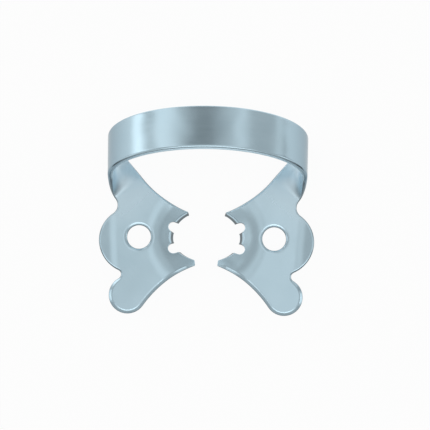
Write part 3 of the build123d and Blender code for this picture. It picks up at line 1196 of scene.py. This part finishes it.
def steel_material(steel):
    """Tumbled spring steel: fine grain drawn along the strip, tumbling pits, slow waves and cloudy changes of
    tone; painted shade on the cut walls, rougher ground grip faces with painted shade, painted light with
    more roughness on the inner face of the bow, and painted shade on the outer face at the ends of the bow."""
    material = bpy.data.materials.new("tumbled_steel")
    material.use_nodes = True
    graph = Graph(material.node_tree)
    place = graph.node("ShaderNodeTexCoord").outputs["Object"]
    strip_place = graph.node("ShaderNodeUVMap", {"uv_map": "grain"}).outputs["UV"]
    stretch = {"Vector": strip_place, "Scale": (GRAIN_STRETCH, 1.0, 1.0)}
    drawn = graph.node("ShaderNodeMapping", None, stretch).outputs[0]
    grain = graph.noise(drawn, *GRAIN_NOISE)
    waves = graph.noise(place, *WAVE_NOISE)
    pits = graph.noise(place, *PIT_NOISE)
    clouds = graph.noise(place, *CLOUD_NOISE)
    rim, ground, buffed, dull = [graph.attribute(name) for name in MARKS]
    walls = graph.between(rim, WALL_START, WALL_FULL)

    tone = clouds * CLOUD_TONE + grain * GRAIN_TONE
    steel_colour = graph.blended(tone, opaque(steel.dark), opaque(steel.light))
    # Overlays: painted light inside the bow, painted shade at its ends and on the cut walls, and the ground
    # faces with their painted shade
    for cover, overlay in (
        (buffed, steel.buffed),
        (dull, steel.dull),
        (walls * WALL_COVER, steel.cut),
        (ground, steel.ground),
    ):
        steel_colour = graph.blended(cover, steel_colour, opaque(overlay))

    roughness = steel.roughness + (clouds - 0.5) * CLOUD_ROUGHNESS + (grain - 0.5) * GRAIN_ROUGHNESS
    roughness = roughness + walls * WALL_ROUGHNESS + ground * GROUND_ROUGHNESS + buffed * PAINTED_LIGHT_ROUGHNESS
    relief = {
        "Strength": RELIEF_STRENGTH,
        "Distance": RELIEF_DEPTH,
        "Height": grain * GRAIN_RELIEF + pits * PIT_RELIEF + waves * WAVE_RELIEF,
    }
    bump = graph.node("ShaderNodeBump", None, relief)
    shader = graph.node(
        "ShaderNodeBsdfPrincipled",
        None,
        {
            "Base Color": steel_colour,
            "Metallic": 1.0,
            "Roughness": roughness,
            "Normal": bump.outputs["Normal"],
        },
    )
    graph.node("ShaderNodeOutputMaterial", None, {"Surface": shader.outputs[0]})
    return material


def floor_material(stage):
    """White floor that shows as the white of the studio and keeps a soft shadow."""
    material = bpy.data.materials.new("studio_floor")
    material.use_nodes = True
    graph = Graph(material.node_tree)
    paper = graph.node("ShaderNodeBsdfDiffuse", None, {"Color": opaque(stage.floor)})
    white = graph.node("ShaderNodeEmission", None, {"Color": opaque((1.0, 1.0, 1.0)), "Strength": 1.0})
    rays = graph.node("ShaderNodeLightPath").outputs
    looked = graph.math("MAXIMUM", rays["Is Camera Ray"], rays["Is Glossy Ray"])
    seen = graph.math("MAXIMUM", looked, rays["Is Transmission Ray"])
    shaders = {0: seen * stage.floor_white, 1: paper.outputs[0], 2: white.outputs[0]}
    mixed = graph.node("ShaderNodeMixShader", None, shaders)
    graph.node("ShaderNodeOutputMaterial", None, {"Surface": mixed.outputs[0]})
    return material


def studio_world(world, stage):
    """Light tent round the steel. Its walls have light and grey panels behind the bow, its top is sewn of
    strips that run from the front to the back, and its front has a bright band below the top and steps from
    light to dark on the way down."""
    world.use_nodes = True
    graph = Graph(world.node_tree)
    direction = graph.node("ShaderNodeTexCoord").outputs["Generated"]
    parts = graph.node("ShaderNodeSeparateXYZ", None, {"Vector": direction}).outputs
    turn = graph.math("ARCTAN2", parts["X"], parts["Y"]) * float(0.5 / np.pi) + 0.5
    walls = graph.ramp(turn, [(0.5 + degrees / FULL_DEGREES, grey) for degrees, grey in WALL_PANELS])
    across = Value(graph, parts["X"]) * 0.5 + 0.5
    top = graph.ramp(across, [(0.5 + place / 2, grey) for place, grey in TOP_STRIPS])
    front = graph.ramp(Value(graph, parts["Z"]), FRONT_STEPS)
    upper = graph.between(parts["Z"], stage.wall_top, stage.tent_top)
    forward = graph.between(parts["Y"], -stage.front_start, -stage.front_full)
    tent = graph.blended(forward, graph.blended(upper, walls, top), front)
    background = graph.node("ShaderNodeBackground", None, {"Color": tent, "Strength": 1.0})
    graph.node("ShaderNodeOutputWorld", None, {"Surface": background.outputs[0]})


# Studio


def studio_floor(stage):
    """Square floor under the clamp."""
    half = stage.floor_half
    corners = [(-half, -half, 0), (half, -half, 0), (half, half, 0), (-half, half, 0)]
    mesh = bpy.data.meshes.new("floor")
    mesh.from_pydata(corners, [], [(0, 1, 2, 3)])
    mesh.materials.append(floor_material(stage))
    return bpy.data.objects.new("floor", mesh)


def studio_softbox(stage):
    """Square softbox that shines straight down."""
    lamp = bpy.data.lights.new("softbox", "AREA")
    lamp.size = stage.lamp_side
    lamp.energy = stage.lamp_power
    softbox = bpy.data.objects.new("softbox", lamp)
    softbox.location = (0.0, 0.0, stage.lamp_height)
    return softbox


def studio_camera(stage):
    """Camera at a distance and elevation from the point that it aims at, in front, rolled about its axis."""
    lens = bpy.data.cameras.new("camera")
    lens.lens = stage.lens
    lens.shift_x = stage.shift_x
    lens.shift_y = stage.shift_y
    lens.clip_start = NEAR_CLIP
    camera = bpy.data.objects.new("camera", lens)
    back = Vector((0.0, -np.cos(stage.view_elevation), np.sin(stage.view_elevation)))
    aim = Matrix.Rotation(np.pi / 2 - stage.view_elevation, 4, "X")
    roll = Matrix.Rotation(stage.view_roll, 4, "Z")
    place = Matrix.Translation(Vector((0, 0, stage.view_height)) + back * stage.view_distance)
    camera.matrix_world = place @ aim @ roll
    return camera


# Operators


class DAMCLAMP_OT_sheet(bpy.types.Operator):
    """Build the punched and bent clamp"""

    bl_idname = "dam_clamp.build_sheet"
    bl_label = "Clamp"

    def execute(self, context):
        settings = context.scene.dam_clamp
        clamp = bpy.data.objects.new("clamp_sheet", clamp_mesh(settings))
        clamp.data.materials.append(steel_material(settings.steel))
        context.collection.objects.link(clamp)
        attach(clamp, "root")
        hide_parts(NODE)
        return {"FINISHED"}


class DAMCLAMP_OT_stage(bpy.types.Operator):
    """Build the floor, light and camera"""

    bl_idname = "dam_clamp.build_stage"
    bl_label = "Studio"

    def execute(self, context):
        scene = context.scene
        stage = scene.dam_clamp.stage
        scene.view_settings.view_transform = "Standard"
        floor = studio_floor(stage)
        camera = studio_camera(stage)
        for fitting in (floor, studio_softbox(stage), camera):
            scene.collection.objects.link(fitting)
        scene.camera = camera
        scene.world = bpy.data.worlds.new("studio")
        studio_world(scene.world, stage)
        return {"FINISHED"}


class DAMCLAMP_PT_panel(bpy.types.Panel):
    """Sidebar panel of the clamp"""

    bl_idname = "DAMCLAMP_PT_panel"
    bl_label = "Rubber dam clamp"
    bl_space_type = "VIEW_3D"
    bl_region_type = "UI"
    bl_category = "Clamp"

    def draw(self, context):
        for operator in OPERATORS:
            self.layout.operator(operator.bl_idname)


SETTINGS = (
    SheetSettings,
    WingSettings,
    JawSettings,
    StripSettings,
    SteelSettings,
    StageSettings,
    ClampSettings,
)
OPERATORS = (DAMCLAMP_OT_sheet, DAMCLAMP_OT_stage)
CLASSES = (*SETTINGS, *OPERATORS, DAMCLAMP_PT_panel)


def register():
    for cls in CLASSES:
        bpy.utils.register_class(cls)
    bpy.types.Scene.dam_clamp = PointerProperty(type=ClampSettings)


def unregister():
    del bpy.types.Scene.dam_clamp
    for cls in reversed(CLASSES):
        bpy.utils.unregister_class(cls)


def main():
    register()
    bpy.ops.dam_clamp.build_sheet()
    bpy.ops.dam_clamp.build_stage()
    bpy.context.view_layer.update()


if __name__ == "__main__":
    main()
